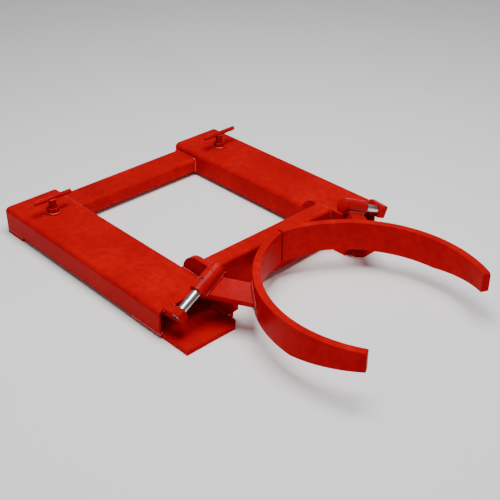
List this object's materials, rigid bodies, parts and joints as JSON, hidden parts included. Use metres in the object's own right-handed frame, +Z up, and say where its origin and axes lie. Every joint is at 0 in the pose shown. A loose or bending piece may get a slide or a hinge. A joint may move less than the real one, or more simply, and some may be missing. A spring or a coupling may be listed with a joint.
{
  "type": "fork-mounted drum clamp",
  "caption": "Fork truck attachment that slides on to the tines and grips an upright drum round its waist with two curved jaws.",
  "frame": {"origin": "middle of the footprint, on the floor: z = 0 is the underside of the base plates and rear straps, x = 0 the mirror plane between the two pockets, y = 0 half way between the pockets' rear ends and the closed jaws' tips", "axes": "+Z up; -Y forwards, the way the jaws face, so the tines come in from +Y; +X to the right seen from in front of the jaws. Rest pose: both jaws closed against the front cross bar, both fork clamps open"},
  "size_m": [0.732, 1.0926, 0.1451],
  "materials": {
    "red_paint": "gloss signal-red paint over welded mild steel",
    "bright_steel": "bright drawn steel bar"
  },
  "bodies": {
    "frame": {"left_fork_pocket": "red_paint", "right_fork_pocket": "red_paint", "left_rear_strap": "red_paint", "right_rear_strap": "red_paint", "left_base_plate": "red_paint", "right_base_plate": "red_paint", "rear_cross_bar": "red_paint", "front_cross_bar": "red_paint", "left_hinge_plate": "red_paint", "right_hinge_plate": "red_paint", "left_upper_bush": "red_paint", "right_upper_bush": "red_paint", "left_lower_lug": "red_paint", "right_lower_lug": "red_paint", "left_clamp_nut": "red_paint", "right_clamp_nut": "red_paint"},
    "left_arm": {"left_arm_boss": "red_paint", "left_arm_bar": "red_paint", "left_jaw": "red_paint", "left_pivot_pin": "bright_steel", "left_roll_pin": "bright_steel"},
    "left_pad": {"left_clamp_pad": "red_paint"},
    "left_screw": {"left_clamp_screw": "red_paint", "left_tommy_bar": "red_paint"},
    "right_arm": {"right_arm_boss": "red_paint", "right_arm_bar": "red_paint", "right_jaw": "red_paint", "right_pivot_pin": "bright_steel", "right_roll_pin": "bright_steel"},
    "right_pad": {"right_clamp_pad": "red_paint"},
    "right_screw": {"right_clamp_screw": "red_paint", "right_tommy_bar": "red_paint"}
  },
  "joints": [
    {"name": "left_arm_hinge", "type": "hinge", "parent": "frame", "child": "left_arm", "pos_m": [-0.27741, -0.11819, 0.09656], "axis": [-0.9085, -0.0955, -0.4067], "range_deg": [0, 40]},
    {"name": "left_pad_slide", "type": "slide", "parent": "frame", "child": "left_pad", "axis": [0, 0, -1], "range_m": [0, 0.0182]},
    {"name": "left_screw_turn", "type": "hinge", "parent": "left_pad", "child": "left_screw", "pos_m": [-0.286, 0.44131, 0.067], "axis": [0, 0, -1], "range_deg": [0, 2592]},
    {"name": "right_arm_hinge", "type": "hinge", "parent": "frame", "child": "right_arm", "pos_m": [0.27741, -0.11819, 0.09656], "axis": [-0.9085, 0.0955, 0.4067], "range_deg": [0, 40]},
    {"name": "right_pad_slide", "type": "slide", "parent": "frame", "child": "right_pad", "axis": [0, 0, -1], "range_m": [0, 0.0182]},
    {"name": "right_screw_turn", "type": "hinge", "parent": "right_pad", "child": "right_screw", "pos_m": [0.286, 0.44131, 0.067], "axis": [0, 0, -1], "range_deg": [0, 2592]}
  ],
  "couplings": [
    {"joint": "left_pad_slide", "follows": "left_screw_turn", "m_per_rad": 0.00039789},
    {"joint": "right_pad_slide", "follows": "right_screw_turn", "m_per_rad": 0.00039789}
  ]
}
